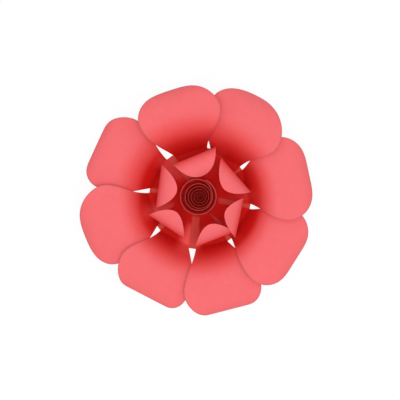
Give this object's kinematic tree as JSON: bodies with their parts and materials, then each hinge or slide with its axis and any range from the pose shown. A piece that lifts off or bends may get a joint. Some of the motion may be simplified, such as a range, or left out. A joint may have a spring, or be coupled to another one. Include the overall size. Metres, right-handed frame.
{
  "type": "giant paper flower",
  "caption": "Large wall or table flower of curled coral paper: wide outer petals on a card disc, small petals curling in over a rolled paper centre.",
  "frame": {"origin": "centre of the backing disc's back face, which lies against a wall or on a table", "axes": "+Z out of the flower's face along the disc's axis, +Y up as it hangs on a wall, +X to the viewer's right"},
  "size_m": [0.4032, 0.3978, 0.077],
  "materials": {
    "card": "matte",
    "outer_paper": "matte",
    "inner_paper": "matte",
    "roll_paper": "matte"
  },
  "bodies": {
    "root": {"backing_disc": "card", "outer_petal_1": "outer_paper", "outer_petal_2": "outer_paper", "outer_petal_3": "outer_paper", "outer_petal_4": "outer_paper", "outer_petal_5": "outer_paper", "outer_petal_6": "outer_paper", "outer_petal_7": "outer_paper", "outer_petal_8": "outer_paper", "inner_petal_1": "inner_paper", "inner_petal_2": "inner_paper", "inner_petal_3": "inner_paper", "inner_petal_4": "inner_paper", "inner_petal_5": "inner_paper", "inner_petal_6": "inner_paper", "rolled_centre": "roll_paper"}
  },
  "joints": []
}
